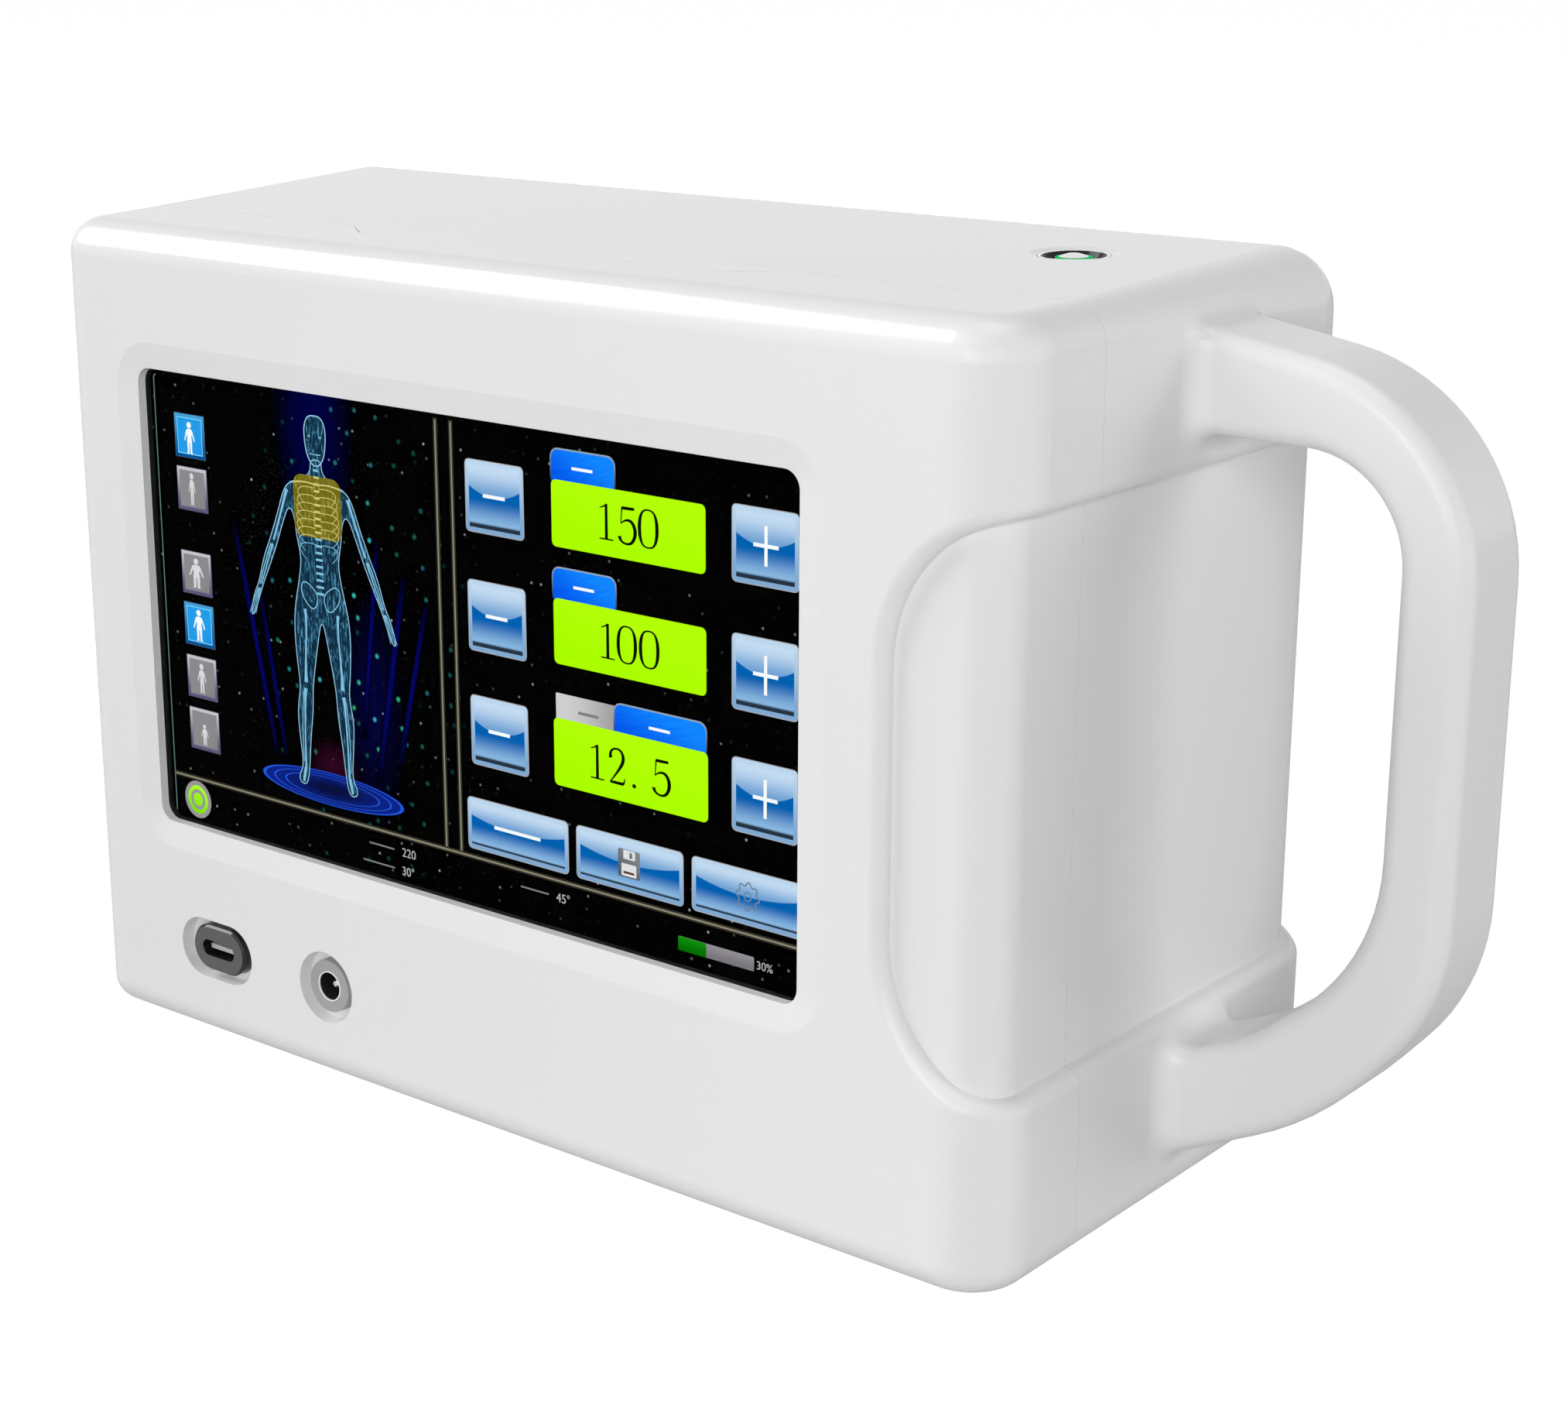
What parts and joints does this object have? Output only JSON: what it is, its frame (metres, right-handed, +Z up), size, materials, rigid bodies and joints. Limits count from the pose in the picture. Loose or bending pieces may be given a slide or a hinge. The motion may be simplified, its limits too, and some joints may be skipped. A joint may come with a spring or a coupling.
{
  "type": "portable x-ray machine",
  "caption": "Box-shaped portable x-ray machine with a touch screen in front, a D-handle on one end, a power button on top and a beam port in the back.",
  "frame": {"origin": "middle of the whole unit's length and depth, on the surface that it stands on", "axes": "+X along the screen to the handle, +Y from the screen to the beam port, +Z up"},
  "size_m": [0.2896, 0.1092, 0.1603],
  "materials": {
    "housing": "white satin moulded plastic",
    "cover_glass": "clear touch glass",
    "display": "black display panel",
    "black_plastic": "gloss black moulding",
    "contact_tongue": "pale contact tongue",
    "jack_metal": "grey threaded metal",
    "liner": "white moulded liner",
    "pin_metal": "polished contact pin",
    "chrome_ring": "polished chrome",
    "light_ring": "green light ring",
    "button_metal": "satin silver cap",
    "port_frame": "dark grey fine-textured moulding",
    "port_window": "clear window plate",
    "shutter_metal": "dull metal plate",
    "rubber": "black rubber",
    "brass": "brass insert"
  },
  "bodies": {
    "root": {"front_shell": "housing", "rear_shell": "housing", "display_glass": "cover_glass", "display_panel": "display", "usb_body": "black_plastic", "usb_tongue": "contact_tongue", "jack_barrel": "jack_metal", "jack_liner": "liner", "jack_pin": "pin_metal", "button_bezel": "chrome_ring", "button_light": "light_ring", "button_cap": "button_metal", "port_frame": "port_frame", "port_window": "port_window", "aperture_plate": "shutter_metal", "feet": "rubber", "stand_insert": "brass"}
  },
  "joints": []
}
